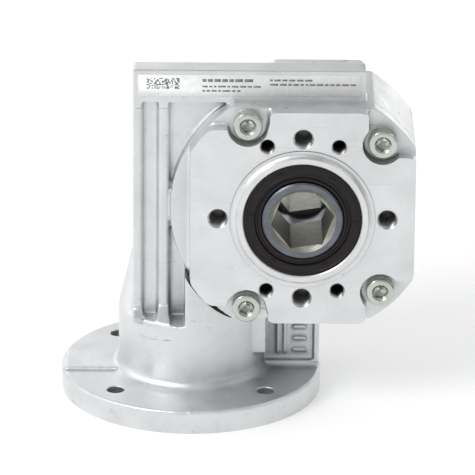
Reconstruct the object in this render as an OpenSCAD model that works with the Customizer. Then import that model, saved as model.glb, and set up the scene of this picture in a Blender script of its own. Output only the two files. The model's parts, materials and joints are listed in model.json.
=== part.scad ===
// Right angle worm gearbox with a hollow hexagon output shaft.
// Origin: centre of the motor flange face. +Z runs up the worm axis and +X
// towards the output axis, which lies along Y and comes out at both sides.

/* [Motor flange] */
// Diameter of the round motor flange
flange_d = 105; // [104:0.5:106]
// Thickness of the motor flange
flange_t = 9.5; // [9:0.5:10]
// Bolt circle of the motor flange
flange_pcd = 85; // [84:0.5:86]
// Diameter of the motor flange's bolt holes
flange_hole_d = 7; // [6.6:0.1:7.4]
// Diameter of the recess that centres the motor
motor_spigot_d = 70; // [68:0.5:70]
// Depth of the recess that centres the motor
motor_spigot_depth = 4; // [3.5:0.5:4]

/* [Housing] */
// Height of the output axis above the motor face
axis_h = 84; // [83.5:0.5:84.5]
// Diameter of the round gear case
drum_d = 105; // [104:0.5:106]
// Distance from the output axis to the flat top and to the flat bottom
flat_h = 44.5; // [44:0.5:45]
// Distance from the centre plane to each output face
plate_y = 32.5; // [32:0.5:33]
// Diameter of the neck that holds the input bearing
neck_d = 58.6; // [58:0.2:60]
// Height of the label bar above the flat top
bar_h = 12.7; // [11:0.1:13]

/* [Output shaft] */
// Distance across the flats of the hexagon socket
hex_af = 22; // [20:0.5:22]
// Angle of the hexagon socket about the output axis
hex_turn = 9; // [0:1:30]
// Length of the hollow output shaft
shaft_len = 70; // [69.6:0.2:70]
// Bolt circle of the larger tapped holes on each output face
face_pcd = 67; // [66.5:0.5:67.5]

/* [Hidden] */
$fn = 96;

// Gear pair: the worm's pitch cylinder touches the wheel's pitch cylinder
gear_module = 2.2;
worm_starts = 2;
worm_pitch_d = 22;
wheel_teeth = 30;
wheel_pitch_d = gear_module * wheel_teeth;
axis_x = (worm_pitch_d + wheel_pitch_d) / 2;
pressure_angle = 20;
backlash = 0.3;
wheel_face = 16;
worm_len = 40;
// Turn of the thread that puts a tooth of the wheel in its gap at rest
worm_phase = 90;

drum_r = drum_d / 2;
case_y = 19;
top_z = axis_h + flat_h;
neck_r = neck_d / 2;
core_y = 15.5;
rib_y = 18;
ledge_z = 37.3;
column_x = -23.3;
cavity_r = 39;
cavity_rear_y = 13;
tunnel_r = 13.6;
tunnel_top_z = 113;
eps = 0.02;

// Cover plate
plate_r = 26;
ring_h = 2;
spigot_len = 4;
side_x = 44.5;
lip_t = 2;
notch_depth = 6;
screw_circle_r = 44.2;
screw_angles = [119.7, 240.3, 44.9, 315.1];
notch_r = 8;
left_notch = [-13.4, 37.3];
right_notch = [25.7, 26];

// Cover screws, M6 by 20 with a wide head and a hexagon socket
screw_r = 3;
screw_len = 20;
screw_head_r = 5.7;
screw_head_h = 6;
screw_socket_af = 5;

// Tapped holes of the output faces: M8 on the circle, M6 at the corners of a rectangle
m8_tap_r = 3.4;
m8_depth = 13;
m6_tap_r = 2.5;
m6_depth = 11;
m6_x = 14.1;
m6_z = 30.3;
tap_chamfer = 0.4;

// Output bearings 35 x 55 x 10 and seals 32 x 47 x 7
shaft_bearing_r = 17.5;
output_seat_r = 27.5;
output_bearing_y = 16;
output_bearing_w = 10;
output_ball_r = 2.7;
output_balls = 13;
seal_seat_r = 23.5;
shaft_seal_r = 16;
seal_w = 7;
seal_inset = 0.3;
shoulder_r = 22;

// Input bearing 25 x 47 x 12, input seal 25 x 47 x 7 and upper bearing 12 x 24 x 6
input_seat_r = 23.5;
input_shaft_r = 12.5;
input_bearing_z = 16;
input_bearing_w = 12;
input_ball_r = 3.2;
input_balls = 10;
input_seal_z = 5;
circlip_t = 1.75;
upper_seat_r = 12;
upper_shaft_r = 6;
upper_bearing_z = 114;
upper_bearing_w = 6;
upper_ball_r = 1.6;
upper_balls = 10;

// Input bore for the motor shaft
input_bore_r = 7;
input_bore_end_z = 36;
input_key_w = 5;
input_key_top = 9.3;

// ---------------------------------------------------------------- helpers

// Moves children from the output frame to the part's frame: Z goes to +Y
module on_output() {
    translate([axis_x, 0, axis_h])
        rotate([-90, 0, 0])
            children();
}

// Cylinder about the output axis between two Y values
module output_cylinder(r, y0, y1) {
    on_output()
        translate([0, 0, y0])
            cylinder(r = r, h = y1 - y0);
}

// Box given relative to the output axis in X and Z, between two Y values
module output_box(x0, x1, z0, z1, y0, y1) {
    translate([axis_x + x0, y0, axis_h + z0])
        cube([x1 - x0, y1 - y0, z1 - z0]);
}

// Box between two corners
module box(low, high) {
    translate(low)
        cube(high - low);
}

// Ring with a square section
module ring(r_out, r_in, h) {
    difference() {
        cylinder(r = r_out, h = h);
        translate([0, 0, -1])
            cylinder(r = r_in, h = h + 2);
    }
}

// Ring with small chamfers on its outer or inner edges
module chamfered_ring(r_in, r_out, h, c) {
    rotate_extrude()
        polygon([[r_in, c], [r_in + c, 0], [r_out - c, 0], [r_out, c],
                 [r_out, h - c], [r_out - c, h], [r_in + c, h], [r_in, h - c]]);
}

// Mirrors children to both output faces
module both_faces() {
    children();
    mirror([0, 1, 0])
        children();
}

// ---------------------------------------------------------------- bearings

function groove_r(ball_r) = ball_r + 0.08;

module bearing_outer(r_in, r_out, w, ball_r) {
    pitch_r = (r_in + r_out) / 2;
    difference() {
        chamfered_ring(pitch_r + 0.8 * ball_r, r_out, w, 0.4);
        rotate_extrude()
            translate([pitch_r, w / 2])
                circle(r = groove_r(ball_r));
    }
}

module bearing_inner(r_in, r_out, w, ball_r) {
    pitch_r = (r_in + r_out) / 2;
    difference() {
        chamfered_ring(r_in, pitch_r - 0.8 * ball_r, w, 0.4);
        rotate_extrude()
            translate([pitch_r, w / 2])
                circle(r = groove_r(ball_r));
    }
}

module bearing_balls(r_in, r_out, w, ball_r, count) {
    pitch_r = (r_in + r_out) / 2;
    for (i = [0 : count - 1])
        rotate([0, 0, i * 360 / count])
            translate([pitch_r, 0, w / 2])
                sphere(r = ball_r);
}

module bearing_cage(r_in, r_out, w, ball_r, count) {
    pitch_r = (r_in + r_out) / 2;
    band = 0.4 * ball_r;
    difference() {
        translate([0, 0, 0.12 * w])
            ring(pitch_r + band, pitch_r - band, 0.76 * w);
        for (i = [0 : count - 1])
            rotate([0, 0, i * 360 / count])
                translate([pitch_r - 2 * band, 0, w / 2])
                    rotate([0, 90, 0])
                        cylinder(r = groove_r(ball_r), h = 4 * band);
    }
}

// ---------------------------------------------------------------- housing

module motor_flange() {
    edge = 1;
    rotate_extrude() {
        square([flange_d / 2 - edge, flange_t]);
        square([flange_d / 2, flange_t - edge]);
        translate([flange_d / 2 - edge, flange_t - edge])
            circle(r = edge);
    }
    // low pad from the neck to the rim
    intersection() {
        box([-60, -9.5, flange_t - 1], [-25, 9.5, flange_t + 1]);
        cylinder(r = flange_d / 2 - 1.5, h = 20);
    }
}

module base_fillet(r, z) {
    rotate_extrude()
        difference() {
            translate([neck_r - 1, z - 0.5])
                square([r + 1, r + 0.5]);
            translate([neck_r + r, z + r])
                circle(r = r);
        }
}

// Neck, and its bulge that rises beside the column to the cover
module neck() {
    bulge_x = -2.4;
    bulge_top = 62;
    clear_r = drum_r + 0.8;
    difference() {
        union() {
            translate([0, 0, 1])
                cylinder(r = neck_r, h = ledge_z - 1);
            base_fillet(3, flange_t);
            intersection() {
                cylinder(r = neck_r, h = bulge_top);
                box([bulge_x, -60, 20], [60, 60, bulge_top]);
            }
        }
        output_cylinder(clear_r, -60, -case_y);
    }
    // shoulder that leans from the neck to the column
    intersection() {
        union() {
            translate([0, 0, ledge_z - 1.3])
                cylinder(r1 = neck_r, r2 = 24.4, h = 21);
            translate([0, 0, ledge_z + 19.7])
                cylinder(r1 = 24.4, r2 = 23.1, h = 4);
        }
        box([-40, -core_y + 0.7, 30], [0, core_y - 0.7, 70]);
    }
}

// Column round the worm, with two upright ribs on each side and a thicker pad on top of each
module worm_column() {
    pad_z = top_z - 3.2;
    box([column_x, -core_y, 20], [30, core_y, top_z]);
    both_faces()
        for (x = [[column_x, -20], [-12.8, -9.3]]) {
            box([x[0], -rib_y, 20], [x[1], 0, top_z]);
            box([x[0], -case_y, pad_z], [x[1], 0, top_z]);
        }
}

// Disc between two Y values, flat above, below and on the side away from the worm
module case_disc(y0, y1) {
    intersection() {
        output_cylinder(drum_r, y0, y1);
        output_box(-60, side_x, -flat_h, flat_h, -60, 60);
    }
}

// Segment beyond the flat side next to the worm, between two Y values
module worm_side_segment(y0, y1) {
    output_box(-60, -side_x, -60, 60, y0, y1);
}

// Corners left out of an output face, the same above and below the output axis
module corner_outline() {
    far = 60;
    for (s = [0, 1])
        mirror([0, s]) {
            translate([-far, left_notch[1]])
                square([far + left_notch[0], far]);
            translate(right_notch)
                square(far);
        }
}

// Gear case with the rear output face, whose corners go down to the round case
module gear_case() {
    difference() {
        case_disc(-case_y, plate_y);
        worm_side_segment(case_y + lip_t, 60);
        on_output()
            translate([0, 0, case_y])
                linear_extrude(60)
                    corner_outline();
    }
}

// Bar along the front of the top, which carries the nameplate
module label_bar() {
    bar_y = -8.4;
    bar_end_x = 24.6;
    box([column_x, -case_y, top_z - 1], [axis_x + bar_end_x, bar_y, top_z + bar_h]);
}

// Post under the gear case, with a sunk panel on each side
module post() {
    x0 = 29.5;
    x1 = 52;
    half_t = 3.5;
    panel_depth = 2;
    frame_w = 2.2;
    difference() {
        intersection() {
            union() {
                box([25, -half_t, flange_t - 1], [x1, half_t, top_z - 2 * flat_h + 2]);
                post_foot(x0, x1, half_t);
            }
            cylinder(r = flange_d / 2 - 0.5, h = 60);
        }
        both_faces()
            box([x0 + 1, -60, flange_t + frame_w], [x1 - frame_w, -half_t + panel_depth, top_z - 2 * flat_h - 1]);
    }
}

// Sloped foot along both sides of the post
module post_foot(x0, x1, half_t) {
    foot = 1.2;
    translate([x0 - 2, 0, flange_t - eps])
        rotate([90, 0, 90])
            linear_extrude(x1 - x0 + 2)
                polygon([[-half_t - foot, 0], [half_t + foot, 0], [half_t, foot], [-half_t, foot]]);
}

module face_ring() {
    output_cylinder(plate_r, plate_y - 1, plate_y + ring_h);
}

// One tapped hole, drilled from the face at -plate_y, at a place on the output face
module tapped_hole(x, z, r, depth) {
    translate([axis_x + x, -plate_y, axis_h + z])
        rotate([-90, 0, 0]) {
            translate([0, 0, -1])
                cylinder(r = r, h = depth + 1);
            translate([0, 0, -eps])
                cylinder(r1 = r + tap_chamfer, r2 = r, h = tap_chamfer);
        }
}

module face_holes() {
    for (a = [0 : 90 : 270])
        tapped_hole(face_pcd / 2 * cos(a), face_pcd / 2 * sin(a), m8_tap_r, m8_depth);
    for (x = [-m6_x, m6_x])
        for (z = [-m6_z, m6_z])
            tapped_hole(x, z, m6_tap_r, m6_depth);
}

// Seats of one output side, cut towards -Y
module output_seats() {
    bearing_end = output_bearing_y + output_bearing_w;
    output_cylinder(output_seat_r, -bearing_end, -5);
    output_cylinder(shoulder_r, -60, -5);
    output_cylinder(seal_seat_r, -60, -bearing_end - 1);
}

module screw_places() {
    for (a = screw_angles)
        on_output()
            rotate([0, 0, -a])
                translate([screw_circle_r, 0, 0])
                    children();
}

module housing() {
    color([0.80, 0.81, 0.81])
    difference() {
        union() {
            motor_flange();
            neck();
            worm_column();
            gear_case();
            label_bar();
            post();
            face_ring();
        }
        // motor side: spigot recess, seal and bearing seat, circlip groove
        translate([0, 0, -1])
            cylinder(r = motor_spigot_d / 2, h = motor_spigot_depth + 1);
        translate([0, 0, -1])
            cylinder(r = input_seat_r, h = input_bearing_z + input_bearing_w + 1);
        translate([0, 0, input_bearing_z - circlip_t])
            cylinder(r = input_seat_r + 1.2, h = circlip_t);
        translate([0, 0, input_bearing_z])
            cylinder(r = tunnel_r, h = tunnel_top_z - input_bearing_z);
        cylinder(r = upper_seat_r, h = upper_bearing_z + upper_bearing_w);
        cylinder(r = upper_seat_r - 2, h = upper_bearing_z + upper_bearing_w + 2);
        for (a = [45 : 90 : 315])
            rotate([0, 0, a])
                translate([flange_pcd / 2, 0, -1])
                    cylinder(r = flange_hole_d / 2, h = flange_t + 2);
        // gear cavity and rear output side
        output_cylinder(cavity_r, -case_y - 1, cavity_rear_y);
        mirror([0, 1, 0]) {
            output_seats();
            face_holes();
        }
        screw_places()
            translate([0, 0, -case_y - 1])
                cylinder(r = screw_r, h = screw_len - notch_depth);
    }
}

// ---------------------------------------------------------------- cover

// Outline of the cover's corner pockets with the wells round its screws
module pocket_outline() {
    corner_outline();
    for (a = screw_angles)
        rotate(-a)
            translate([screw_circle_r, 0])
                circle(r = notch_r);
}

module cover_pockets() {
    on_output()
        translate([0, 0, -plate_y - 1])
            linear_extrude(notch_depth + 1)
                pocket_outline();
}

module front_cover() {
    color([0.84, 0.85, 0.85])
    difference() {
        union() {
            case_disc(-plate_y, -case_y);
            output_cylinder(plate_r, -plate_y - ring_h, -plate_y + 1);
            output_cylinder(cavity_r - 0.05, -case_y - 1, -case_y + spigot_len);
        }
        worm_side_segment(-60, -case_y - lip_t);
        cover_pockets();
        screw_places()
            translate([0, 0, -60])
                cylinder(r = screw_r + 0.3, h = 50);
        output_seats();
        face_holes();
        on_output()
            translate([0, 0, -case_y + 0.8])
                ring(cavity_r + 1, cavity_r - 2, 2.2);
    }
}

module cover_o_ring() {
    section_r = 0.95;
    color([0.12, 0.12, 0.12])
    on_output()
        translate([0, 0, -case_y + 1.9])
            rotate_extrude()
                translate([cavity_r - 1.02, 0])
                    circle(r = section_r);
}

module cover_screws() {
    color([0.70, 0.71, 0.66])
    screw_places()
        translate([0, 0, -plate_y])
            difference() {
                union() {
                    rotate_extrude() {
                        square([screw_head_r - 0.6, screw_head_h]);
                        translate([0, 0.6])
                            square([screw_head_r, screw_head_h - 0.6]);
                        translate([screw_head_r - 0.6, 0.6])
                            circle(r = 0.6);
                    }
                    cylinder(r = screw_r - 0.02, h = screw_head_h + screw_len - 1);
                }
                translate([0, 0, -1])
                    cylinder(d = screw_socket_af / cos(30), h = 4.2, $fn = 6);
            }
}

module nameplate() {
    plate_w = 88;
    plate_h = 9;
    plate_t = 0.25;
    side_gap = 2;
    color([0.88, 0.88, 0.87])
    box([column_x + side_gap, -case_y - plate_t, top_z + 1.9],
        [column_x + side_gap + plate_w, -case_y, top_z + 1.9 + plate_h]);
}

// ---------------------------------------------------------------- seals

// Lip seal with its outer face at z = 0 and its inner side towards +Z
module lip_seal(r_out, r_shaft, w) {
    lip_r = r_shaft + 0.05;
    wall = 1.6;
    face = 1.5;
    rotate_extrude()
        polygon([[lip_r + 2.4, 0.5], [lip_r + 2.9, 0], [r_out - 0.5, 0], [r_out, 0.5], [r_out, w],
                 [r_out - wall, w], [r_out - wall, face], [lip_r + 2.6, face + 0.4],
                 [lip_r + 1.7, 3], [lip_r + 1.7, 3.7], [lip_r + 1.7, 5.2], [lip_r + 1.2, 5.6],
                 [lip_r, 4.4], [lip_r + 0.9, 2.6], [lip_r + 0.2, 1.2], [lip_r + 0.5, 0.9]]);
}

// Small raised lugs on the outer face of an output seal
module seal_lugs(r) {
    lug = [2.2, 1, 0.25];
    for (a = [0 : 60 : 300])
        rotate([0, 0, a])
            translate([r - lug[1] / 2, -lug[0] / 2, -lug[2]])
                cube([lug[1], lug[0], 1]);
}

module output_seal() {
    color([0.13, 0.11, 0.10])
    on_output()
        translate([0, 0, -plate_y - ring_h + seal_inset]) {
            lip_seal(seal_seat_r, shaft_seal_r, seal_w);
            seal_lugs(21.3);
        }
}

module garter_spring(r_shaft) {
    section_r = 0.7;
    color([0.6, 0.6, 0.6])
    rotate_extrude()
        translate([r_shaft + 0.05 + 1.7 + section_r, 4.3])
            circle(r = section_r);
}

module output_seal_spring() {
    on_output()
        translate([0, 0, -plate_y - ring_h + seal_inset])
            garter_spring(shaft_seal_r);
}

module front_seal() { output_seal(); }
module rear_seal() { mirror([0, 1, 0]) output_seal(); }
module front_seal_spring() { output_seal_spring(); }
module rear_seal_spring() { mirror([0, 1, 0]) output_seal_spring(); }

module input_seal() {
    color([0.13, 0.11, 0.10])
    translate([0, 0, input_seal_z])
        lip_seal(input_seat_r, input_shaft_r, seal_w);
}

module input_seal_spring() {
    translate([0, 0, input_seal_z])
        garter_spring(input_shaft_r);
}

// Circlip that holds the input bearing, open towards -X
module bearing_circlip() {
    gap = 14;
    color([0.35, 0.35, 0.36])
    translate([0, 0, input_bearing_z - circlip_t + 0.05])
        difference() {
            ring(input_seat_r + 1.1, input_seat_r - 2.6, circlip_t - 0.1);
            box([-40, -gap / 2, -1], [0, gap / 2, 5]);
        }
}

// ---------------------------------------------------------------- output bearings

module at_front_bearing() {
    on_output()
        translate([0, 0, -output_bearing_y - output_bearing_w])
            children();
}

module at_rear_bearing() {
    on_output()
        translate([0, 0, output_bearing_y])
            children();
}

module output_bearing_outer() {
    color([0.68, 0.69, 0.71])
    bearing_outer(shaft_bearing_r, output_seat_r, output_bearing_w, output_ball_r);
}

module output_bearing_inner() {
    color([0.68, 0.69, 0.71])
    bearing_inner(shaft_bearing_r, output_seat_r, output_bearing_w, output_ball_r);
}

module output_bearing_cage() {
    color([0.75, 0.62, 0.35])
    bearing_cage(shaft_bearing_r, output_seat_r, output_bearing_w, output_ball_r, output_balls);
}

module output_bearing_balls() {
    color([0.85, 0.86, 0.88])
    bearing_balls(shaft_bearing_r, output_seat_r, output_bearing_w, output_ball_r, output_balls);
}

module front_bearing_outer() { at_front_bearing() output_bearing_outer(); }
module front_bearing_inner() { at_front_bearing() output_bearing_inner(); }
module front_bearing_cage() { at_front_bearing() output_bearing_cage(); }
module front_bearing_balls() { at_front_bearing() output_bearing_balls(); }
module rear_bearing_outer() { at_rear_bearing() output_bearing_outer(); }
module rear_bearing_inner() { at_rear_bearing() output_bearing_inner(); }
module rear_bearing_cage() { at_rear_bearing() output_bearing_cage(); }
module rear_bearing_balls() { at_rear_bearing() output_bearing_balls(); }

// ---------------------------------------------------------------- worm bearings

module input_bearing_outer() {
    color([0.68, 0.69, 0.71])
    translate([0, 0, input_bearing_z])
        bearing_outer(input_shaft_r, input_seat_r, input_bearing_w, input_ball_r);
}

module input_bearing_inner() {
    color([0.68, 0.69, 0.71])
    translate([0, 0, input_bearing_z])
        bearing_inner(input_shaft_r, input_seat_r, input_bearing_w, input_ball_r);
}

module input_bearing_cage() {
    color([0.75, 0.62, 0.35])
    translate([0, 0, input_bearing_z])
        bearing_cage(input_shaft_r, input_seat_r, input_bearing_w, input_ball_r, input_balls);
}

module input_bearing_balls() {
    color([0.85, 0.86, 0.88])
    translate([0, 0, input_bearing_z])
        bearing_balls(input_shaft_r, input_seat_r, input_bearing_w, input_ball_r, input_balls);
}

module upper_bearing_outer() {
    color([0.68, 0.69, 0.71])
    translate([0, 0, upper_bearing_z])
        bearing_outer(upper_shaft_r, upper_seat_r, upper_bearing_w, upper_ball_r);
}

module upper_bearing_inner() {
    color([0.68, 0.69, 0.71])
    translate([0, 0, upper_bearing_z])
        bearing_inner(upper_shaft_r, upper_seat_r, upper_bearing_w, upper_ball_r);
}

module upper_bearing_cage() {
    color([0.75, 0.62, 0.35])
    translate([0, 0, upper_bearing_z])
        bearing_cage(upper_shaft_r, upper_seat_r, upper_bearing_w, upper_ball_r, upper_balls);
}

module upper_bearing_balls() {
    color([0.85, 0.86, 0.88])
    translate([0, 0, upper_bearing_z])
        bearing_balls(upper_shaft_r, upper_seat_r, upper_bearing_w, upper_ball_r, upper_balls);
}

// ---------------------------------------------------------------- output shaft and wheel

hub_seat_r = 19;
hub_y0 = -16;
hub_y1 = 12;
hub_r = 25;
collar_r = 22;
key_w = 6;
key_y0 = -9;
key_y1 = 9;

// Hexagon socket with a round relief in the middle and a lead-in at each mouth
module hex_socket() {
    relief_r = 13.4;
    relief_y = 7;
    hex_r = hex_af / 2 / cos(30);
    mouth_r = 13.3;
    mouth_c = 1.4;
    on_output() {
        rotate([0, 0, -hex_turn])
            translate([0, 0, -60])
                cylinder(r = hex_r, h = 120, $fn = 6);
        translate([0, 0, -relief_y])
            cylinder(r = relief_r, h = 2 * relief_y);
        for (s = [0, 1])
            mirror([0, 0, s])
                translate([0, 0, shaft_len / 2 - mouth_c])
                    cylinder(r1 = mouth_r - mouth_c, r2 = mouth_r + 0.1, h = mouth_c + 0.1);
    }
}

module hollow_shaft() {
    edge = 0.6;
    half = shaft_len / 2;
    step_y = output_bearing_y + output_bearing_w + 0.8;
    color([0.55, 0.58, 0.60])
    difference() {
        union() {
            on_output()
                translate([0, 0, -half])
                    rotate_extrude()
                        polygon([[0, 0], [shaft_seal_r - edge, 0], [shaft_seal_r, edge],
                                 [shaft_seal_r, shaft_len - edge], [shaft_seal_r - edge, shaft_len], [0, shaft_len]]);
            output_cylinder(shaft_bearing_r, -step_y, step_y);
            output_cylinder(hub_seat_r, hub_y0, hub_y1);
            output_cylinder(collar_r, hub_y1, output_bearing_y);
        }
        hex_socket();
        // keyway in the hub seat
        output_box(-key_w / 2, key_w / 2, hub_seat_r - 2, hub_seat_r + 5, key_y0, key_y1);
    }
}

module hub_key() {
    color([0.5, 0.5, 0.52])
    output_box(-key_w / 2, key_w / 2, hub_seat_r - 2, hub_seat_r + 2, key_y0, key_y1);
}

module wheel_hub() {
    boss_r = 20.8;
    color([0.42, 0.43, 0.44])
    difference() {
        union() {
            output_cylinder(hub_r, -wheel_face / 2 - 1, wheel_face / 2 + 1);
            output_cylinder(boss_r, hub_y0, hub_y1);
        }
        output_cylinder(hub_seat_r, hub_y0 - 1, hub_y1 + 1);
        output_box(-key_w / 2, key_w / 2, 0, hub_seat_r + 2, key_y0, hub_y1 + 1);
    }
}

// Involute of a circle: distance from the centre and angle at a roll angle
function inv_angle(r, base_r) = let (c = acos(base_r / r)) tan(c) * 180 / PI - c;
function tooth_half(r, pitch_r, base_r, half_at_pitch) =
    half_at_pitch + inv_angle(pitch_r, base_r) - inv_angle(max(r, base_r), base_r);

// One tooth of the wheel as points from its rising flank to its falling flank
function tooth_points(i) = let (
        pitch_r = wheel_pitch_d / 2,
        base_r = pitch_r * cos(pressure_angle),
        root_r = pitch_r - 1.2 * gear_module,
        tip_r = pitch_r + gear_module,
        half = (360 / wheel_teeth / 4) - backlash / 2 / pitch_r * 180 / PI,
        flank = [root_r, base_r + 0.1, pitch_r - 0.7, pitch_r + 0.7, tip_r],
        mid = i * 360 / wheel_teeth
    ) concat(
        [for (r = flank) let (a = mid - tooth_half(r, pitch_r, base_r, half)) [r * cos(a), r * sin(a)]],
        [for (k = [len(flank) - 1 : -1 : 0]) let (r = flank[k], a = mid + tooth_half(r, pitch_r, base_r, half))
            [r * cos(a), r * sin(a)]]
    );

module wheel_rim() {
    lead_tan = worm_starts * gear_module / worm_pitch_d;
    turn = lead_tan * wheel_face / (wheel_pitch_d / 2) * 180 / PI;
    color([0.78, 0.60, 0.28])
    difference() {
        on_output()
            translate([0, 0, -wheel_face / 2])
                rotate([0, 0, 180 + 180 / wheel_teeth - turn / 2])
                    linear_extrude(wheel_face, twist = -turn, slices = 6)
                        polygon([for (i = [0 : wheel_teeth - 1]) each tooth_points(i)]);
        output_cylinder(hub_r, -wheel_face, wheel_face);
    }
}

// ---------------------------------------------------------------- worm

// Radius of the thread against its place along one pitch, with straight flanks
function thread_r(u) = let (
        pitch = PI * gear_module,
        tip_r = worm_pitch_d / 2 + gear_module,
        root_r = worm_pitch_d / 2 - 1.2 * gear_module,
        s = abs(u - 0.5) * pitch,
        half = pitch / 4 - backlash / 2
    ) min(tip_r, max(root_r, worm_pitch_d / 2 + (half - s) / tan(pressure_angle)));

module worm_thread() {
    lead = PI * gear_module * worm_starts;
    steps = 32;
    z0 = axis_h - worm_len / 2;
    turns = worm_len / lead;
    points = [for (i = [0 : steps - 1]) let (a = i * 360 / steps, u = worm_starts * i / steps, f = u - floor(u))
        [thread_r(f) * cos(a), thread_r(f) * sin(a)]];
    translate([0, 0, z0])
        rotate([0, 0, -360 * turns / 2 + worm_phase])
            linear_extrude(worm_len, twist = -360 * turns, slices = 90, $fn = 0)
                polygon(points);
}

module worm_shaft() {
    core_r = 8.3;
    color([0.50, 0.52, 0.55])
    difference() {
        union() {
            worm_thread();
            translate([0, 0, input_seal_z])
                cylinder(r = input_shaft_r, h = 35);
            translate([0, 0, input_bearing_z + input_bearing_w])
                cylinder(r = 13.3, h = 3);
            translate([0, 0, 39])
                cylinder(r = core_r, h = upper_bearing_z - 39);
            cylinder(r = upper_shaft_r, h = upper_bearing_z + upper_bearing_w);
        }
        cylinder(r = input_bore_r, h = input_bore_end_z);
        box([0, -input_key_w / 2, -1], [input_key_top, input_key_w / 2, input_bore_end_z - 2]);
    }
}

housing();
front_cover();
cover_o_ring();
cover_screws();
nameplate();
front_seal();
rear_seal();
input_seal();
front_seal_spring();
rear_seal_spring();
input_seal_spring();
bearing_circlip();
front_bearing_outer();
front_bearing_inner();
front_bearing_cage();
front_bearing_balls();
rear_bearing_outer();
rear_bearing_inner();
rear_bearing_cage();
rear_bearing_balls();
input_bearing_outer();
input_bearing_inner();
input_bearing_cage();
input_bearing_balls();
upper_bearing_outer();
upper_bearing_inner();
upper_bearing_cage();
upper_bearing_balls();
hollow_shaft();
hub_key();
wheel_hub();
wheel_rim();
worm_shaft();
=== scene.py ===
"""Right angle worm gearbox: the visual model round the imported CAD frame. Metres, +Z up."""

import json
import math
import random

import bmesh
import bpy
from mathutils import Matrix, Vector


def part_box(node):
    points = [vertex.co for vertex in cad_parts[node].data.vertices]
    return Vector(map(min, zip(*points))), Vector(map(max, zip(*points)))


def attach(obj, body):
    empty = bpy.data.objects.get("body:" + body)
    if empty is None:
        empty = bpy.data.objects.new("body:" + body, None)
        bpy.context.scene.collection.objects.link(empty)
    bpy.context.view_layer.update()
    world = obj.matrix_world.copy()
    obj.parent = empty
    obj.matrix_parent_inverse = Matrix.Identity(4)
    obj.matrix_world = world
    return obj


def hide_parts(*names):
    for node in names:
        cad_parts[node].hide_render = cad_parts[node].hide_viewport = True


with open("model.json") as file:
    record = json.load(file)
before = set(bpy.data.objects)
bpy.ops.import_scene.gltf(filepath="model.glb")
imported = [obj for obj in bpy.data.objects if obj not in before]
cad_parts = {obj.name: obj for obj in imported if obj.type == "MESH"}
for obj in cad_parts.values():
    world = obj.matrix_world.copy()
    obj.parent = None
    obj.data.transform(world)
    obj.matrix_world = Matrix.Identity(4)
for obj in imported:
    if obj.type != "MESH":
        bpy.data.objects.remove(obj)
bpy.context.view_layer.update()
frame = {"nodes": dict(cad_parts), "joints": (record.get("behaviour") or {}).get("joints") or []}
NODES = frame["nodes"]

# ------------------------------------------------------------------ sizes, in millimetres

MM = 0.001
VOXEL = 0.5
FAR = 80.0

joint_at = {j["name"]: Vector(j["pos_m"]) / MM for j in frame["joints"]}
AXIS_X = joint_at["output_spin"].x
AXIS_Z = joint_at["output_spin"].z


def box_mm(node):
    low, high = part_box(node)
    return Vector(low) / MM, Vector(high) / MM


cover_low, cover_high = box_mm("front_cover")
housing_low, housing_high = box_mm("housing")
screw_low = box_mm("cover_screws")[0]
label_low, label_high = box_mm("nameplate")

# Gear case, about the output axis. Y runs from the middle of the part to an output face.
CASE_R = AXIS_X - cover_low.x
SIDE_X = 44.5
FLAT = (cover_high.z - cover_low.z) / 2
TOP_Z = AXIS_Z + FLAT
BOTTOM_Z = AXIS_Z - FLAT
CASE_Y = 19.0
LIP_Y = CASE_Y + 2
PLATE_Y = -screw_low.y
POCKET_Y = PLATE_Y - 6
RING_Y = -cover_low.y
CORNERS = ((-13.4, 37.3), (25.7, 26.0))
CAVITY_R = 39.0
SEAT_R = 27.5
SHOULDER_R = 22.0
SEAL_R = 23.5

# Cover screws in their pockets, and the holes round the seal.
POCKET_R = 8.0
SCREW_CIRCLE = 44.2
SCREW_ANGLES = (119.7, 240.3, 44.9, 315.1)
FACE_R = 28.6
BOLT_R = 33.5
CORNER_X, CORNER_Z = 14.1, 30.3
M8_TAP = (3.4, 4.0, 1.25, 13)  # minor radius, major radius, pitch, depth
M6_TAP = (2.5, 3.0, 1.0, 11)

# Flange, neck, column and bar, about the worm axis.
FLANGE_R = -housing_low.x
FLANGE_T = 9.5
FLANGE_BOLT_R = 42.5
NECK_R = 29.3
BULGE_X = -2.4
LEDGE_Z = 37.3
COLUMN_X = -23.3
CORE_Y = 15.5
RIB_Y = 18.0
BAR_TOP = housing_high.z

# Metal left on a cast face for milling.
STOCK = 0.45


# ------------------------------------------------------------------ mesh helpers

def upright(x, y, z):
    """A point given about the worm axis."""
    return Vector((x, y, z)) * MM


def outward(x, z, y):
    """A point given about the output axis: X and Z from it, and Y along it."""
    return Vector((AXIS_X + x, y, AXIS_Z + z)) * MM


def facing(side):
    """A placer for things on an output face: depth runs inwards from the face."""
    return lambda x, z, depth: outward(x, z, side * (PLATE_Y - depth))


def circle(radius, segments=96, centre=(0, 0)):
    turn = [2 * math.pi * i / segments for i in range(segments)]
    return [(centre[0] + radius * math.cos(a), centre[1] + radius * math.sin(a)) for a in turn]


def on_circle(radius, degrees):
    return (radius * math.cos(math.radians(degrees)), radius * math.sin(math.radians(degrees)))


def add_rings(bm, rings, closed=False):
    """Skins a list of rings of points, with flat ends unless the last joins the first."""
    made = [[bm.verts.new(p) for p in ring] for ring in rings]
    pairs = list(zip(made, made[1:]))
    if closed:
        pairs.append((made[-1], made[0]))
    count = len(made[0])
    for a, b in pairs:
        for i in range(count):
            j = (i + 1) % count
            bm.faces.new((a[i], a[j], b[j], b[i]))
    if not closed:
        bm.faces.new(made[0])
        bm.faces.new(made[-1])


def add_prism(bm, outline, start, end, place=upright):
    """A prism of a flat outline between two heights."""
    add_rings(bm, [[place(u, v, w) for u, v in outline] for w in (start, end)])


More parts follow.
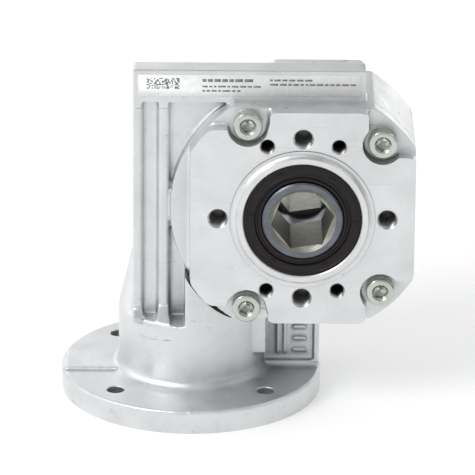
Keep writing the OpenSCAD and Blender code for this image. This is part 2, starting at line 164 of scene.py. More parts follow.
def add_lathe(bm, profile, place=upright, segments=128, closed=False, centre=(0, 0)):
    """A profile of (radius, height) points turned about an axis."""
    add_rings(bm, [[place(u, v, w) for u, v in circle(r, segments, centre)] for r, w in profile], closed)


def add_cylinder(bm, radius, start, end, place=upright, centre=(0, 0), segments=96):
    add_prism(bm, circle(radius, segments, centre), start, end, place)


def add_box(bm, low, high, place=upright):
    outline = [(low[0], low[1]), (high[0], low[1]), (high[0], high[1]), (low[0], high[1])]
    add_prism(bm, outline, low[2], high[2], place)


def add_thread(bm, minor, major, pitch, depth, place, centre):
    """A screw-shaped plug with a cone at its mouth, for cutting a tapped hole."""
    segments, per_pitch = 32, 6
    mouth = major + 0.15
    count = round(depth / pitch * per_pitch)
    rings = [[place(u, v, -1.0) for u, v in circle(mouth, segments, centre)]]
    for k in range(count + 1):
        depth_here = depth * k / count
        ring = []
        for i in range(segments):
            phase = (depth_here / pitch - i / segments) % 1.0
            r = minor + (major - minor) * (1 - abs(2 * phase - 1))
            r = max(r, mouth - depth_here)
            u, v = on_circle(r, 360 * i / segments)
            ring.append(place(centre[0] + u, centre[1] + v, depth_here))
        rings.append(ring)
    rings.append([place(u, v, depth + 0.55 * minor) for u, v in circle(0.3, segments, centre)])
    add_rings(bm, rings)


def case_outline(extra=0.0, steps=360):
    """The round case: flat above, below and on the side away from the worm."""
    points = []
    for i in range(steps):
        c, v = on_circle(1, 360 * i / steps)
        side = (SIDE_X + extra) / c if c > 1e-6 else FAR
        reach = min(CASE_R + extra, (FLAT + extra) / max(abs(v), 1e-6), side)
        points.append((reach * c, reach * v))
    return points


def rounded(points, radius, steps=5):
    """Outline with its sharp corners rounded, inwards and outwards."""
    sharp, most = math.radians(30), 0.45
    done = []
    for i, here in enumerate(points):
        here = Vector(here)
        back = Vector(points[i - 1]) - here
        ahead = Vector(points[(i + 1) % len(points)]) - here
        if back.angle(-ahead) < sharp:
            done.append(tuple(here))
            continue
        a = here + back.normalized() * min(radius, most * back.length)
        b = here + ahead.normalized() * min(radius, most * ahead.length)
        for k in range(steps + 1):
            t = k / steps
            done.append(tuple(a * (1 - t) ** 2 + here * 2 * t * (1 - t) + b * t * t))
    return done


def face_outline():
    """An output face: the case's outline flat on both sides, with its corners left out."""
    upper = [(-SIDE_X, 0), (-SIDE_X, 27.8), (-41.0, 32.8), (-37.0, CORNERS[0][1]), CORNERS[0],
             (CORNERS[0][0], FLAT), (CORNERS[1][0], FLAT), CORNERS[1], (SIDE_X, CORNERS[1][1])]
    return rounded(upper + [(x, -z) for x, z in reversed(upper[1:])], 2.6)


def add_lip(bm, side):
    """Round segment of the case beyond the flat on the worm's side."""
    steps = 48
    edge = math.degrees(math.acos(-SIDE_X / CASE_R)) - 2
    turn = [edge + (360 - 2 * edge) * i / steps for i in range(steps + 1)]
    add_prism(bm, [on_circle(CASE_R, a) for a in turn], side * (CASE_Y - 1), side * LIP_Y, outward)


def piece(name, bm, material=None):
    """A scene object made from a bmesh, with outward normals."""
    bmesh.ops.recalc_face_normals(bm, faces=bm.faces)
    data = bpy.data.meshes.new(name)
    bm.to_mesh(data)
    bm.free()
    made = bpy.data.objects.new(name, data)
    bpy.context.scene.collection.objects.link(made)
    data.shade_smooth()
    if material:
        data.materials.append(material)
    return made


def settle(obj):
    """Replaces an object's mesh by its mesh with the modifiers applied."""
    bpy.context.view_layer.update()
    graph = bpy.context.evaluated_depsgraph_get()
    done = bpy.data.meshes.new_from_object(obj.evaluated_get(graph))
    obj.modifiers.clear()
    obj.data = done
    return obj


def cut(obj, fill, material=None):
    """Takes what fill adds to a bmesh out of an object; the new faces may have their own material."""
    bm = bmesh.new()
    fill(bm)
    cutter = piece("cutter", bm, material)
    step = obj.modifiers.new("cut", "BOOLEAN")
    step.operation = "DIFFERENCE"
    step.solver = "MANIFOLD"
    if material:
        step.material_mode = "TRANSFER"
    step.object = cutter
    settle(obj)
    bpy.data.objects.remove(cutter)
    return obj


def fuse(obj, voxel):
    """Fuses overlapping closed solids into one skin."""
    step = obj.modifiers.new("fuse", "REMESH")
    step.mode = "VOXEL"
    step.voxel_size = voxel * MM
    step.use_smooth_shade = True
    return settle(obj)


def soften(obj, rounds):
    """Rounds the edges and corners of a fused skin as a casting's are."""
    step = obj.modifiers.new("soften", "SMOOTH")
    step.factor = 0.5
    step.iterations = rounds
    return settle(obj)


def crisp(obj, degrees=38):
    """Smooth shading with sharp edges kept, led by the large flat faces."""
    obj.data.shade_smooth()
    obj.data.set_sharp_from_angle(angle=math.radians(degrees))
    step = obj.modifiers.new("normals", "WEIGHTED_NORMAL")
    step.keep_sharp = True
    step.weight = 80


# ------------------------------------------------------------------ materials

class Nodes:
    """A material's node tree with short calls to add and join nodes."""

    def __init__(self, name):
        self.material = bpy.data.materials.new(name)
        self.material.use_nodes = True
        self.tree = self.material.node_tree
        self.tree.nodes.clear()
        self.out = self.add("ShaderNodeOutputMaterial")
        self.shader = self.add("ShaderNodeBsdfPrincipled")
        self.join(self.shader, "BSDF", self.out, "Surface")
        self.coords = self.add("ShaderNodeTexCoord")

    def add(self, kind, **values):
        node = self.tree.nodes.new(kind)
        for key, value in values.items():
            if hasattr(node, key):
                setattr(node, key, value)
            else:
                node.inputs[key.replace("_", " ")].default_value = value
        return node

    def join(self, a, a_socket, b, b_socket):
        self.tree.links.new(a.outputs[a_socket], b.inputs[b_socket])

    def set(self, **values):
        for key, value in values.items():
            self.shader.inputs[key.replace("_", " ")].default_value = value

    def noise(self, scale, detail=4.0, rough=0.55, stretch=None, turn=(0, 0, 0)):
        """Noise in the part's own frame, which is every piece's object frame."""
        node = self.add("ShaderNodeTexNoise", Scale=scale, Detail=detail, Roughness=rough)
        if stretch:
            mapping = self.add("ShaderNodeMapping", Scale=stretch, Rotation=turn)
            self.join(self.coords, "Object", mapping, "Vector")
            self.join(mapping, "Vector", node, "Vector")
        else:
            self.join(self.coords, "Object", node, "Vector")
        return node

    def ramp(self, source, socket, stops):
        node = self.add("ShaderNodeValToRGB")
        while len(node.color_ramp.elements) < len(stops):
            node.color_ramp.elements.new(0.5)
        for element, (at, colour) in zip(node.color_ramp.elements, stops):
            element.position = at
            value = colour if isinstance(colour, tuple) else (colour, colour, colour)
            element.color = (*value, 1.0)
        self.join(source, socket, node, "Fac")
        return node

    def colour(self, *layers):
        """Sets the base colour to the product of some colour nodes."""
        socket = layers[0].outputs["Color"]
        for layer in layers[1:]:
            mix = self.add("ShaderNodeMix", data_type="RGBA", blend_type="MULTIPLY")
            mix.inputs[0].default_value = 1.0
            self.tree.links.new(socket, mix.inputs[6])
            self.tree.links.new(layer.outputs["Color"], mix.inputs[7])
            socket = mix.outputs[2]
        self.tree.links.new(socket, self.shader.inputs["Base Color"])

    def painted_shade(self, reach, dark, closed=0.25, open_from=0.85):
        """Painted shade: the base colour darkened by ambient occlusion in corners and slots."""
        node = self.add("ShaderNodeAmbientOcclusion", samples=6, only_local=True, Distance=reach)
        return self.ramp(node, "AO", [(closed, dark), (open_from, 1.0)])

    def bump(self, source, socket, strength, distance, under=None):
        node = self.add("ShaderNodeBump", Strength=strength, Distance=distance)
        self.join(source, socket, node, "Height")
        if under:
            self.join(under, "Normal", node, "Normal")
        return node


def grey(v):
    return (v * 0.985, v, v * 1.01)


def cast_aluminium():
    """Blasted die casting: fine grain, faint clouds, small pits, short rubs, and painted shade in its
    corners and wider hollows.
    """
    n = Nodes("cast_aluminium")
    n.set(Metallic=0.9, IOR=1.6)
    tone = n.ramp(n.noise(55.0, 6.0, 0.65), "Fac",
                  [(0.3, grey(0.62)), (0.55, grey(0.73)), (0.75, grey(0.79))])
    pits = n.ramp(n.noise(480.0, 3.0, 0.7), "Fac", [(0.24, 0.62), (0.31, 1.0)])
    streaks = n.noise(1.0, 5.0, 0.7, stretch=(60.0, 60.0, 420.0))
    rubs = n.ramp(streaks, "Fac", [(0.30, 0.60), (0.37, 1.0)])
    # Base colour: tone, pits and rubs, times two ambient-occlusion ramps of painted shade, one in tight
    # corners and one across the wider hollows.
    n.colour(tone, pits, rubs, n.painted_shade(0.0016, 0.35), n.painted_shade(0.06, 0.35, 0.12, 0.52))
    shine = n.ramp(n.noise(110.0, 5.0), "Fac", [(0.3, 0.36), (0.7, 0.52)])
    n.join(shine, "Color", n.shader, "Roughness")
    fine = n.bump(n.noise(1700.0, 3.0, 0.6), "Fac", 0.55, 0.00012)
    slow = n.bump(n.noise(300.0, 4.0), "Fac", 0.4, 0.0002, fine)
    n.join(slow, "Normal", n.shader, "Normal")
    return n.material


def machined_aluminium():
    """Face-milled aluminium: bright, with fine scratches, nicks, faint stains and a slight painted shade in
    its corners.
    """
    n = Nodes("machined_aluminium")
    n.set(Metallic=0.92, IOR=1.6)
    tone = n.ramp(n.noise(42.0, 6.0, 0.65), "Fac",
                  [(0.3, grey(0.64)), (0.6, grey(0.73)), (0.8, grey(0.78))])
    nicks = n.ramp(n.noise(350.0, 2.0, 0.5), "Fac", [(0.22, 0.45), (0.26, 1.0)])
    lines = n.noise(1.0, 2.0, 0.5, stretch=(90.0, 90.0, 2600.0), turn=(0, 0.6, 0))
    marks = n.ramp(lines, "Fac", [(0.28, 0.84), (0.36, 1.0)])
    # The ambient-occlusion ramp is a slight painted shade in corners.
    n.colour(tone, nicks, marks, n.painted_shade(0.006, 0.07))
    shine = n.ramp(n.noise(140.0, 5.0), "Fac", [(0.3, 0.28), (0.7, 0.44)])
    n.join(shine, "Color", n.shader, "Roughness")
    grain = n.bump(n.noise(1500.0, 2.0), "Fac", 0.25, 0.00006)
    n.join(n.bump(lines, "Fac", 0.25, 0.00005, grain), "Normal", n.shader, "Normal")
    return n.material


def plain_metal(name, colour, rough, grain=900.0, depth=0.00004, dark=0.4):
    """A steel, brass or iron surface with slight tone and finish changes, and painted shade in its corners.
    """
    n = Nodes(name)
    n.set(Metallic=1.0)
    tone = n.ramp(n.noise(160.0, 5.0), "Fac",
                  [(0.3, tuple(c * 0.85 for c in colour)), (0.7, colour)])
    # Painted shade: an ambient-occlusion ramp darkens corners, as deep as dark sets.
    n.colour(tone, n.painted_shade(0.003, dark))
    shine = n.ramp(n.noise(220.0, 3.0), "Fac", [(0.3, rough * 0.8), (0.7, rough * 1.2)])
    n.join(shine, "Color", n.shader, "Roughness")
    n.join(n.bump(n.noise(grain, 2.0), "Fac", 0.3, depth), "Normal", n.shader, "Normal")
    return n.material


def shaft_steel():
    """Turned steel with fine rings outside, and a paler, duller broached socket inside, with painted shade
    in its corners and hollows.
    """
    socket_r, turned_r = 13.0, 13.5
    n = Nodes("shaft_steel")
    n.set(Metallic=1.0)
    mapping = n.add("ShaderNodeMapping", Location=(-AXIS_X * MM, 0, -AXIS_Z * MM))
    n.join(n.coords, "Object", mapping, "Vector")
    rings = n.add("ShaderNodeTexWave", wave_type="RINGS", rings_direction="Y",
                  Scale=900.0, Distortion=0.4)
    n.join(mapping, "Vector", rings, "Vector")
    flat = n.add("ShaderNodeVectorMath", operation="MULTIPLY")
    n.join(mapping, "Vector", flat, 0)
    flat.inputs[1].default_value = (1, 0, 1)
    reach = n.add("ShaderNodeVectorMath", operation="LENGTH")
    n.join(flat, "Vector", reach, 0)
    span = n.add("ShaderNodeMapRange", From_Min=socket_r * MM, From_Max=turned_r * MM)
    n.join(reach, "Value", span, "Value")
    wear = n.ramp(n.noise(240.0, 5.0, 0.65), "Fac", [(0.32, 0.72), (0.7, 1.0)])
    place = n.ramp(span, "Result", [(0.3, (0.40, 0.395, 0.355)), (0.7, (0.17, 0.185, 0.21))])
    # The ambient-occlusion ramp is painted shade in the corners and the socket.
    n.colour(place, wear, n.painted_shade(0.004, 0.30))
    n.join(n.ramp(span, "Result", [(0.3, 0.50), (0.7, 0.30)]), "Color", n.shader, "Roughness")
    n.join(n.bump(rings, "Fac", 0.22, 0.00003), "Normal", n.shader, "Normal")
    return n.material


def rubber(name, colour, rough):
    n = Nodes(name)
    n.set(Specular_IOR_Level=0.25)
    tone = n.ramp(n.noise(300.0, 4.0), "Fac",
                  [(0.3, tuple(c * 0.7 for c in colour)), (0.7, colour)])
    n.colour(tone)
    shine = n.ramp(n.noise(160.0, 4.0), "Fac", [(0.3, rough * 0.8), (0.7, rough * 1.2)])
    n.join(shine, "Color", n.shader, "Roughness")
    n.join(n.bump(n.noise(1200.0, 2.0), "Fac", 0.3, 0.00005), "Normal", n.shader, "Normal")
    return n.material


def print_layer(name, colour, rough, metallic=0.0):
    n = Nodes(name)
    n.set(Metallic=metallic)
    n.colour(n.ramp(n.noise(500.0, 4.0), "Fac",
                    [(0.3, tuple(c * 0.9 for c in colour)), (0.7, colour)]))
    shine = n.ramp(n.noise(90.0, 4.0), "Fac", [(0.3, rough * 0.8), (0.7, rough * 1.2)])
    n.join(shine, "Color", n.shader, "Roughness")
    return n.material


CAST = cast_aluminium()
MACHINED = machined_aluminium()
ZINC = plain_metal("zinc_plate", (0.56, 0.60, 0.55), 0.26, 600.0, 0.00006)
SHAFT = shaft_steel()
STEEL = plain_metal("bearing_steel", (0.60, 0.61, 0.63), 0.22)
SPRING = plain_metal("spring_steel", (0.34, 0.34, 0.35), 0.35)
WORM = plain_metal("worm_steel", (0.42, 0.43, 0.45), 0.25)
BRASS = plain_metal("cage_brass", (0.70, 0.52, 0.26), 0.30)
BRONZE = plain_metal("wheel_bronze", (0.62, 0.42, 0.18), 0.30)
IRON = plain_metal("cast_iron", (0.20, 0.20, 0.21), 0.55)
SEAL = rubber("seal_rubber", (0.013, 0.009, 0.010), 0.34)
O_RING = rubber("o_ring_rubber", (0.02, 0.02, 0.02), 0.40)
FOIL = print_layer("label_foil", (0.95, 0.96, 0.96), 0.55, 0.4)
INK = print_layer("label_ink", (0.24, 0.24, 0.26), 0.5)


def present(obj, body, slot, *replaced):
    """Puts a piece on its body and in place of the CAD nodes that it shows."""
    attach(obj, body)
    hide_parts(*replaced)


# ------------------------------------------------------------------ output faces, alike on both sides

def add_face_ring(bm, side):
    """Raised ring round the seal with a wide outer fillet."""
    inner_r, root = 20, 4
    top = PLATE_Y - RING_Y - STOCK
    fillet = [(29.6, root), (29.4, 0.2), (FACE_R, -0.1), (27.4, -0.35), (26.5, -1.0), (26.1, -1.7)]
    add_lathe(bm, [(inner_r, root), *fillet, (25.9, top), (inner_r, top)], facing(side), 180, True)


def mill_face(obj, side):
    """Mills the face and the top of its ring, then bores and taps its holes."""
    place = facing(side)
    clear = -20
    milled = [(FACE_R, 0), (FAR, 0), (FAR, clear), (FACE_R, clear)]
    cut(obj, lambda bm: add_lathe(bm, milled, place, 180, True), MACHINED)
    cut(obj, lambda bm: add_cylinder(bm, FACE_R + 2, clear, PLATE_Y - RING_Y, place, segments=180),
        MACHINED)

    def large_holes(bm):
        for i in range(4):
            add_thread(bm, *M8_TAP, place, on_circle(BOLT_R, 90 * i))

    def small_holes(bm):
        for x in (-CORNER_X, CORNER_X):
            for z in (-CORNER_Z, CORNER_Z):
                add_thread(bm, *M6_TAP, place, (x, z))
    cut(obj, large_holes, MACHINED)
    cut(obj, small_holes, MACHINED)


def seat_profile(end_y):
    """Bearing seat, shoulder and seal seat from inside to outside."""
    seat_y, shoulder_y, clear = 26, 27, 60
    lead = 0.4
    return [(SEAT_R, end_y), (SEAT_R, seat_y), (SHOULDER_R, seat_y), (SHOULDER_R, shoulder_y),
            (SEAL_R, shoulder_y), (SEAL_R, RING_Y - lead), (SEAL_R + lead, RING_Y), (SEAL_R + lead, clear)]


# ------------------------------------------------------------------ housing

def add_neck(bm):
    """Round neck with its base fillet, the bulge right of the column and the shoulder left of it."""
    fillet, steps, brow = 4.0, 8, 1.5
    arc = [math.pi / 2 * i / steps for i in range(steps + 1)]
    flare = [(NECK_R + fillet * (1 - math.sin(a)), FLANGE_T + fillet * (1 - math.cos(a)))
             for a in arc]
    add_lathe(bm, [(NECK_R + fillet, 4.0), *flare, (NECK_R, LEDGE_Z - brow),
                   (NECK_R - 0.3 * brow, LEDGE_Z - 0.3 * brow), (NECK_R - brow, LEDGE_Z)], segments=180)
    bulge_top = 62
    bulge = [(max(BULGE_X, x), y) for x, y in circle(NECK_R, 120)]
    add_prism(bm, bulge, 20, bulge_top)
    half = CORE_Y - 0.7
    levels = ((NECK_R, 30), (NECK_R, LEDGE_Z - 1.3), (24.4, LEDGE_Z + 19.7), (23.1, LEDGE_Z + 23.7))
    add_rings(bm, [[upright(min(0, x), max(-half, min(half, y)), z)
                    for x, y in circle(radius, 120)] for radius, z in levels])


def cut_slot_ends(body):
    """Pockets sunk in the top of the neck under the two slots, front and back."""
    top = LEDGE_Z + 15

    def ends(bm):
        for side in (-1, 1):
            near, far = sorted((side * CORE_Y, side * FAR))
            for left, right, deep in ((-18.8, -14.0, 0.5), (-8.3, BULGE_X, 1.2)):
                add_box(bm, (left, near, LEDGE_Z - deep), (right, far, top))
    cut(body, ends)


def add_column(bm):
    """Column round the worm: two ribs on each side, each with a sloping foot and a thicker top."""
    root = CORE_Y - 0.2
    pad_z = TOP_Z - 3.2
    edge = RIB_Y - 0.5
    ribs = ([(COLUMN_X, 0), (COLUMN_X, RIB_Y), (-20.3, RIB_Y), (-19.6, edge), (-18.7, root), (-18.7, 0)],
            [(-14.1, 0), (-14.1, root), (-13.1, edge), (-12.5, RIB_Y), (-9.7, RIB_Y),
             (-9.1, edge), (-8.2, root), (-8.2, 0)])
    add_box(bm, (COLUMN_X, -CORE_Y, 20), (30, CORE_Y, TOP_Z))
    for side in (-1, 1):
        for rib in ribs:
            add_prism(bm, [(x, side * y) for x, y in rib], 20, TOP_Z)
        for left, right, reach in ((COLUMN_X, -19.4, RIB_Y + 5), (-13.4, -8.8, RIB_Y + 8.2)):
            rise = LEDGE_Z + 0.45 * (reach - RIB_Y)
            foot = [(0, LEDGE_Z - 2), (side * reach, LEDGE_Z - 2), (side * (reach - 0.5), LEDGE_Z - 0.2),
                    (side * (RIB_Y + 0.2), rise), (0, rise)]
            add_prism(bm, foot, left, right, lambda y, z, x: upright(x, y, z))
        for left, right in ((COLUMN_X, -19.6), (-13.0, -9.2)):
            near, far = sorted((0, side * CASE_Y))
            add_box(bm, (left, near, pad_z), (right, far, TOP_Z + 1))


def add_post(bm):
    """Post under the gear case: a thin web with a frame and foundry marks in its sunk panels."""
    x0, x1 = 27.0, 51.9
    z0, z1 = FLANGE_T - 2, BOTTOM_Z + 2
    half, web, edge = 3.5, 1.5, 2.2
    add_box(bm, (x0, -web, z0), (x1, web, z1))
    add_box(bm, (x1 - edge, -half, z0), (x1, half, z1))
    add_box(bm, (x0, -half, z0), (x1, half, FLANGE_T + edge))
    add_box(bm, (x0, -half, z1 - 3.5), (x1, half, z1))
    foot, foot_z = half + 1.4, FLANGE_T + 1.5
    add_prism(bm, [(-foot, FLANGE_T - 1), (foot, FLANGE_T - 1), (foot, FLANGE_T), (half, foot_z),
                   (-half, foot_z), (-foot, FLANGE_T)], x0, x1, lambda y, z, x: upright(x, y, z))
    relief = web + 1.1

    def across(x, z, y):
        return upright(x, y, z)
    for x in (34.6, 37.4):
        add_box(bm, (x, 14.6, -relief), (x + 1.3, 33.0, relief), across)
    for z in (15.2, 20.2, 25.2, 30.2):
        add_box(bm, (41.2, z, -relief), (46.6, z + 1.5, relief), across)


def cut_housing(body):
    """Machined faces and holes, cut crisp after the casting is rounded."""
    cut(body, lambda bm: add_box(bm, (-FAR, -FAR, -FAR), (FAR, FAR, 0)), MACHINED)
    mill_face(body, 1)
    cover_gap = 0.9
    cut(body, lambda bm: add_prism(bm, case_outline(cover_gap), -FAR, -CASE_Y, outward), MACHINED)
    spigot = [(35.5, -5), (35.5, 0), (35, 0.5), (35, 4)]
    seal_and_bearing = [(24.1, 4), (SEAL_R, 4.6), (SEAL_R, 14.25), (24.7, 14.25), (24.7, 16),
                        (SEAL_R, 16), (SEAL_R, 28)]
    tunnel = [(13.6, 28), (13.6, 113), (12, 113), (12, 120), (10, 120), (10, 122)]
    cut(body, lambda bm: add_lathe(bm, spigot + seal_and_bearing + tunnel, segments=160), MACHINED)
    cavity_y = 13
    output_side = [(CAVITY_R, -25), (CAVITY_R, cavity_y), *seat_profile(cavity_y)]
    cut(body, lambda bm: add_lathe(bm, output_side, outward, 160), MACHINED)

    def flange_holes(bm):
        hole, bevel = 3.5, 0.3
        mouth = hole + bevel
        profile = [(mouth, -3), (mouth, 0), (hole, bevel), (hole, FLANGE_T - bevel),
                   (mouth, FLANGE_T), (mouth, FLANGE_T + 5)]
        for i in range(4):
            add_lathe(bm, profile, segments=48, centre=on_circle(FLANGE_BOLT_R, 45 + 90 * i))

    def screw_holes(bm):
        for a in SCREW_ANGLES:
            add_cylinder(bm, 3, -CASE_Y - 1, -CASE_Y + 13, outward, on_circle(SCREW_CIRCLE, a), 40)
    cut(body, flange_holes, MACHINED)
    cut(body, screw_holes, MACHINED)


def build_housing():
    """Casting fused from its solids, softened, then machined."""
    rim = 0.5
    land_half, land_rise = 9.5, 1.1
    bm = bmesh.new()
    add_lathe(bm, [(FLANGE_R, -3), (FLANGE_R, FLANGE_T - rim), (FLANGE_R - rim, FLANGE_T)], segments=240)
    add_box(bm, (-FLANGE_R + 1.8, -land_half, 2), (-20, land_half, FLANGE_T + land_rise))
    add_neck(bm)
    add_column(bm)
    add_post(bm)
    add_prism(bm, case_outline(), -CASE_Y - 1.5, CASE_Y, outward)
    add_lip(bm, 1)
    add_prism(bm, face_outline(), 0, PLATE_Y + STOCK, outward)
    add_face_ring(bm, 1)
    add_box(bm, (COLUMN_X, -CASE_Y, TOP_Z - 0.6), (AXIS_X + 24.6, -8.4, BAR_TOP))
    body = piece("housing_casting", bm, CAST)
    fuse(body, VOXEL)
    cut_slot_ends(body)
    soften(fuse(body, VOXEL), 3)
    cut_housing(body)
    crisp(body)
    return body


present(build_housing(), "root", "cast_aluminium", "housing")


# ------------------------------------------------------------------ front cover

def build_cover():
    """Cover plate: cast edges and corner pockets, milled face, bored and tapped holes."""
    plate = [(max(x, -SIDE_X), z) for x, z in case_outline()]
    bm = bmesh.new()
    add_lip(bm, -1)
    add_prism(bm, plate, -POCKET_Y, -CASE_Y + 0.5, outward)
    add_prism(bm, face_outline(), -PLATE_Y - STOCK, -POCKET_Y + 1, outward)
    add_face_ring(bm, -1)
    cover = piece("cover_casting", bm, CAST)
    fuse(cover, VOXEL)

    def wells(bm):
        for a in SCREW_ANGLES:
            add_cylinder(bm, POCKET_R, -FAR, -POCKET_Y, outward, on_circle(SCREW_CIRCLE, a))
    cut(cover, wells)
    soften(fuse(cover, VOXEL), 3)
    cut(cover, lambda b: add_box(b, (-FAR, -FAR, -CASE_Y), (FAR, FAR, 0), outward), MACHINED)
    mill_face(cover, -1)
    inner = [(r, -y) for r, y in seat_profile(10)]
    cut(cover, lambda b: add_lathe(b, inner, outward, 160), MACHINED)

    def clearance(bm):
        for a in SCREW_ANGLES:
            add_cylinder(bm, 3.3, -60, -10, outward, on_circle(SCREW_CIRCLE, a), 40)
    cut(cover, clearance, MACHINED)
    crisp(cover)
    return cover


def build_spigot():
    """Machined rim that centres the cover in the housing, with the O-ring's groove."""
    outer, inner, floor_r = CAVITY_R - 0.06, SEAT_R, CAVITY_R - 2
    profile = [(inner, 0), (outer, 0), (outer, 0.8), (floor_r, 0.8), (floor_r, 3), (outer, 3),
               (outer, 3.7), (outer - 0.3, 4), (inner + 0.4, 4), (inner, 3.6)]
    bm = bmesh.new()
    add_lathe(bm, [(r, -CASE_Y + depth) for r, depth in profile], outward, 180, True)
    rim = piece("cover_spigot", bm, MACHINED)
    crisp(rim)
    return rim


COVER = build_cover()
SPIGOT = build_spigot()
for part in (COVER, SPIGOT):
    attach(part, "root")
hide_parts("front_cover")


# ------------------------------------------------------------------ cover screws

def build_screws():
    """Four cap screws with a knurled head, a sunk hexagon and a rolled thread."""
    head_r, head_h, shank, length = 5.7, 6.0, 2.95, 19.0
    bm = bmesh.new()
    knurl, grip_r, thread_depth, per_pitch = 0.16, head_r - 0.02, 0.45, 6
    count = 120
    rings = []
    for r, w, depth in ((3.9, 0, 0), (head_r - 1.0, 0, 0), (head_r - 0.45, 0.12, 0), (head_r - 0.1, 0.5, 0),
                        (grip_r, 0.9, 0), (grip_r, 1.2, knurl), (grip_r, head_h - 0.8, knurl),
                        (head_r - 0.1, head_h - 0.5, 0), (head_r - 0.3, head_h, 0), (shank, head_h, 0)):
        rings.append([(r - depth * (i % 2), 360 * i / count, w) for i in range(count)])
    turns = int(length - head_h) * per_pitch
    for k in range(1, turns + 1):
        w = head_h + (length - head_h) * k / turns + 0.2
        ring = []
        for i in range(count):
            phase = (w - i / count) % 1.0
            ring.append((shank - thread_depth * abs(2 * phase - 1), 360 * i / count, w))
        rings.append(ring)
    add_rings(bm, [[Vector((*on_circle(r, a), w)) * MM for r, a, w in ring] for ring in rings])
    screw = piece("screw", bm, ZINC)

    def socket(bm):
        across_flats = 5
        hexagon = [on_circle(across_flats / 2 / math.cos(math.pi / 6), 60 * i) for i in range(6)]
        tip = [(u * 0.08, v * 0.08) for u, v in hexagon]
        add_rings(bm, [[Vector((u, v, w)) * MM for u, v in outline]
                       for outline, w in ((hexagon, -2), (hexagon, 3.1), (tip, 4.2))])
    cut(screw, socket)
    cut(screw, lambda b: add_lathe(b, [(4.0, -0.6), (3.4, 0.0), (2.6, 0.8)], segments=48))

    together = bmesh.new()
    for angle, turn in zip(SCREW_ANGLES, (8, 34, 21, 52)):
        x, z = on_circle(SCREW_CIRCLE, angle)
        basis = Matrix(((1, 0, 0), (0, 0, 1), (0, 1, 0))).to_4x4()
        spin = Matrix.Rotation(math.radians(turn), 4, "Z")
        one = screw.data.copy()
        one.transform(Matrix.Translation(outward(x, z, -PLATE_Y)) @ basis @ spin)
        together.from_mesh(one)
    bpy.data.objects.remove(screw)
    screws = piece("cap_screws", together, ZINC)
    crisp(screws, 30)
    return screws


present(build_screws(), "root", "zinc_screws", "cover_screws")


# ------------------------------------------------------------------ seals

def build_seal(name, place, outer, shaft, body):
    """Lip seal: pressed outer rim, stepped face, dust lip, main lip and six small lugs."""
    lip = shaft + 0.06  # a running gap, so that the lip doesn't cut the shaft
    bm = bmesh.new()
    face = [(outer, 0.5), (outer - 0.5, 0.02), (outer - 1.3, 0.0), (outer - 1.5, 0.18),
            (outer - 3.9, 0.18), (outer - 4.1, 0.0), (outer - 4.4, 0.05), (outer - 4.6, 0.8),
            (outer - 4.8, 1.1)]
    dust_lip = [(lip + 1.9, 1.15), (lip + 1.6, 0.75), (lip + 1.1, 0.55), (lip + 0.5, 0.6),
                (lip + 0.06, 1.1)]
    main_lip = [(lip + 0.9, 2.6), (lip, 4.4), (lip + 1.2, 5.6), (lip + 1.7, 5.2), (lip + 1.7, 3.2),
                (lip + 2.4, 2.0)]
    shell = [(outer - 1.7, 1.7), (outer - 1.7, 7.0), (outer - 0.3, 7.0), (outer, 6.6)]
    add_lathe(bm, face + dust_lip + main_lip + shell, place, 160, True)
    middle, half_wide, half_turn = outer - 2.7, 0.5, 3.2
    for i in range(6):
        centre = 60 * i - 4
        outline = [on_circle(middle + half_wide * r, centre + half_turn * a)
                   for r, a in ((-1, -1), (1, -1), (1, 1), (-1, 1))]
        add_prism(bm, outline, -0.24, 0.4, place)
    seal = piece(name + "_rubber", bm, SEAL)
    crisp(seal, 30)
    present(seal, body, "seal_rubber", name)


SEAL_Y = RING_Y - 0.3
for name, side in (("front_seal", -1), ("rear_seal", 1)):
    build_seal(name, lambda x, z, w, side=side: outward(x, z, side * (SEAL_Y - w)), SEAL_R, 16.0, "root")
build_seal("input_seal", lambda x, y, z: upright(x, y, 5 + z), SEAL_R, 12.5, "root")


# ------------------------------------------------------------------ nameplate

def build_label():
    """Foil label with a block of random cells and rows of plain bars instead of any wording."""
    chance = random.Random(11)
    ink_t, bar_gap = 0.04, 0.6
    foil_y = label_low.y + ink_t
    bm = bmesh.new()
    corner, steps = 0.8, 5
    x0, x1, z0, z1 = label_low.x, label_high.x, label_low.z, label_high.z
    outline = []
    for cx, cz, start in ((x1 - corner, z1 - corner, 0), (x0 + corner, z1 - corner, 90),
                          (x0 + corner, z0 + corner, 180), (x1 - corner, z0 + corner, 270)):
        for i in range(steps + 1):
            u, v = on_circle(corner, start + 90 * i / steps)
            outline.append((cx + u, cz + v))

    def flat(x, z, y):
        return upright(x, y, z)
    add_prism(bm, outline, foil_y, label_high.y, flat)
    foil = piece("label_foil_sheet", bm, FOIL)
    present(foil, "root", "label_foil", "nameplate")

    bm = bmesh.new()

    def mark(left, low, width, height):
        add_box(bm, (left, low, label_low.y), (left + width, low + height, foil_y + 0.02), flat)
    cell, ink_cell = 0.5, 0.48
    rows, columns = 9, 26
    left, top = x0 + 3.4, z1 - 1.3
    for row in range(rows):
        for column in range(columns):
            if chance.random() < 0.5:
                mark(left + cell * column, top - cell * (row + 1), ink_cell, ink_cell)
    for start, end, down, height in ((25.4, 44, 1.6, 1.2), (25.4, 48, 4.4, 0.7), (25.4, 41, 6.2, 0.7),
                                     (52, 68, 1.6, 0.8), (52, 84, 3.4, 0.8)):
        x = x0 + start
        while x < x0 + end:
            width = chance.uniform(1.0, 3.4)
            mark(x, z1 - down - height, width, height)
            x += width + bar_gap
    ink = piece("label_ink_marks", bm, INK)
    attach(ink, "root")


build_label()


# ------------------------------------------------------------------ CAD nodes that stay

def dress(node, material, bevel=0.0):
    """Gives a CAD node its material and, where asked, slightly broken edges."""
    obj = NODES[node]
    obj.data.materials.clear()
    obj.data.materials.append(material)
    if bevel:
        step = obj.modifiers.new("edges", "BEVEL")
        step.width = bevel * MM
        step.segments = 2
        step.limit_method = "ANGLE"
        step.angle_limit = math.radians(35)


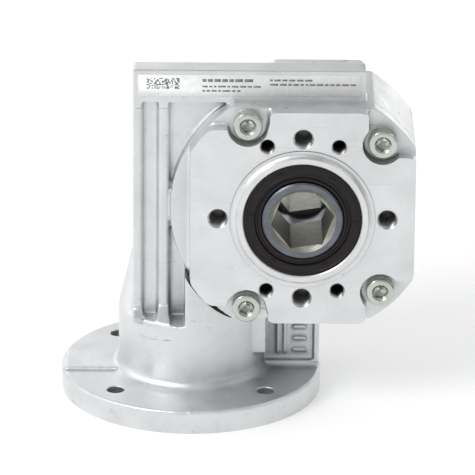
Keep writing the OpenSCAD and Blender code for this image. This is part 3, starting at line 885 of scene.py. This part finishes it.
FINISHES = (
    (O_RING, ["cover_o_ring"]),
    (SPRING, ["front_seal_spring", "rear_seal_spring", "input_seal_spring", "bearing_circlip"]),
    (WORM, ["worm_shaft", "hub_key"]),
    (IRON, ["wheel_hub"]),
    (BRONZE, ["wheel_rim"]),
)
for material, nodes in FINISHES:
    for node in nodes:
        dress(node, material)
for place in ("front", "rear", "input", "upper"):
    for part in ("outer", "inner", "balls"):
        dress(f"{place}_bearing_{part}", STEEL)
    dress(f"{place}_bearing_cage", BRASS)
dress("hollow_shaft", SHAFT, 0.25)


# ------------------------------------------------------------------ camera, floor and light

def add_camera():
    """A long lens in front of the cover, looking down at the part."""
    place = Vector((0.01139, -1.78709, 0.75259))
    down, aside, roll = 0.36798, 0.00398, 0.00829
    ahead = Vector((math.sin(aside) * math.cos(down), math.cos(aside) * math.cos(down),
                    -math.sin(down)))
    level = Vector((math.cos(aside), -math.sin(aside), 0))
    rise = level.cross(ahead)
    right = level * math.cos(roll) + rise * math.sin(roll)
    up = rise * math.cos(roll) - level * math.sin(roll)
    data = bpy.data.cameras.new("camera")
    data.sensor_width = 36.0
    data.lens = 360.2
    data.clip_start, data.clip_end = 0.1, 20.0
    camera = bpy.data.objects.new("camera", data)
    camera.matrix_world = Matrix.Translation(place) @ Matrix((right, up, -ahead)).transposed().to_4x4()
    bpy.context.scene.collection.objects.link(camera)
    bpy.context.scene.camera = camera


def add_floor():
    """White floor with a faint glow of its own, so that it meets the white surroundings."""
    n = Nodes("floor_white")
    n.set(Base_Color=(0.92, 0.92, 0.92, 1), Roughness=0.9,
          Emission_Color=(1, 1, 1, 1), Emission_Strength=0.19)
    half, z = 3.0, 0.0
    corners = ((-1, -1), (1, -1), (1, 1), (-1, 1))
    bm = bmesh.new()
    bm.faces.new([bm.verts.new((x * half, y * half, z)) for x, y in corners])
    piece("floor", bm, n.material)


def add_light(name, place, size, power, target=(0.02, 0, 0.07)):
    """Soft rectangular light in metres and watts, turned to the part."""
    data = bpy.data.lights.new(name, "AREA")
    data.shape = "RECTANGLE"
    data.size, data.size_y = size
    data.energy = power
    light = bpy.data.objects.new(name, data)
    light.location = place
    light.rotation_mode = "QUATERNION"
    light.rotation_quaternion = (Vector(target) - Vector(place)).to_track_quat("-Z", "Y")
    bpy.context.scene.collection.objects.link(light)


def add_world():
    """Soft white surroundings, brighter on the left than on the right."""
    world = bpy.data.worlds.new("studio")
    world.use_nodes = True
    tree = world.node_tree
    coords = tree.nodes.new("ShaderNodeTexCoord")
    parts = tree.nodes.new("ShaderNodeSeparateXYZ")
    span = tree.nodes.new("ShaderNodeMapRange")
    left, right = 0.68, 0.34
    for socket, value in (("From Min", -1), ("From Max", 1), ("To Min", left), ("To Max", right)):
        span.inputs[socket].default_value = value
    tree.links.new(coords.outputs["Generated"], parts.inputs["Vector"])
    tree.links.new(parts.outputs["X"], span.inputs["Value"])
    tree.links.new(span.outputs["Result"], tree.nodes["Background"].inputs["Strength"])
    tree.nodes["Background"].inputs["Color"].default_value = (1, 1, 1, 1)
    bpy.context.scene.world = world


add_camera()
add_floor()
add_world()
add_light("key", (-0.8, -0.8, 1.0), (0.8, 0.8), 10.0)
add_light("left", (-1.2, 0.2, 0.5), (0.9, 1.2), 3.2)
add_light("back_left", (-0.5, 1.3, 0.6), (1.1, 0.6), 3.0)
add_light("back_right", (0.75, 1.4, 0.25), (0.9, 0.45), 2.2)
add_light("right", (1.0, 0.1, 1.0), (0.6, 0.6), 3.0)
bpy.context.scene.view_settings.view_transform = "Standard"
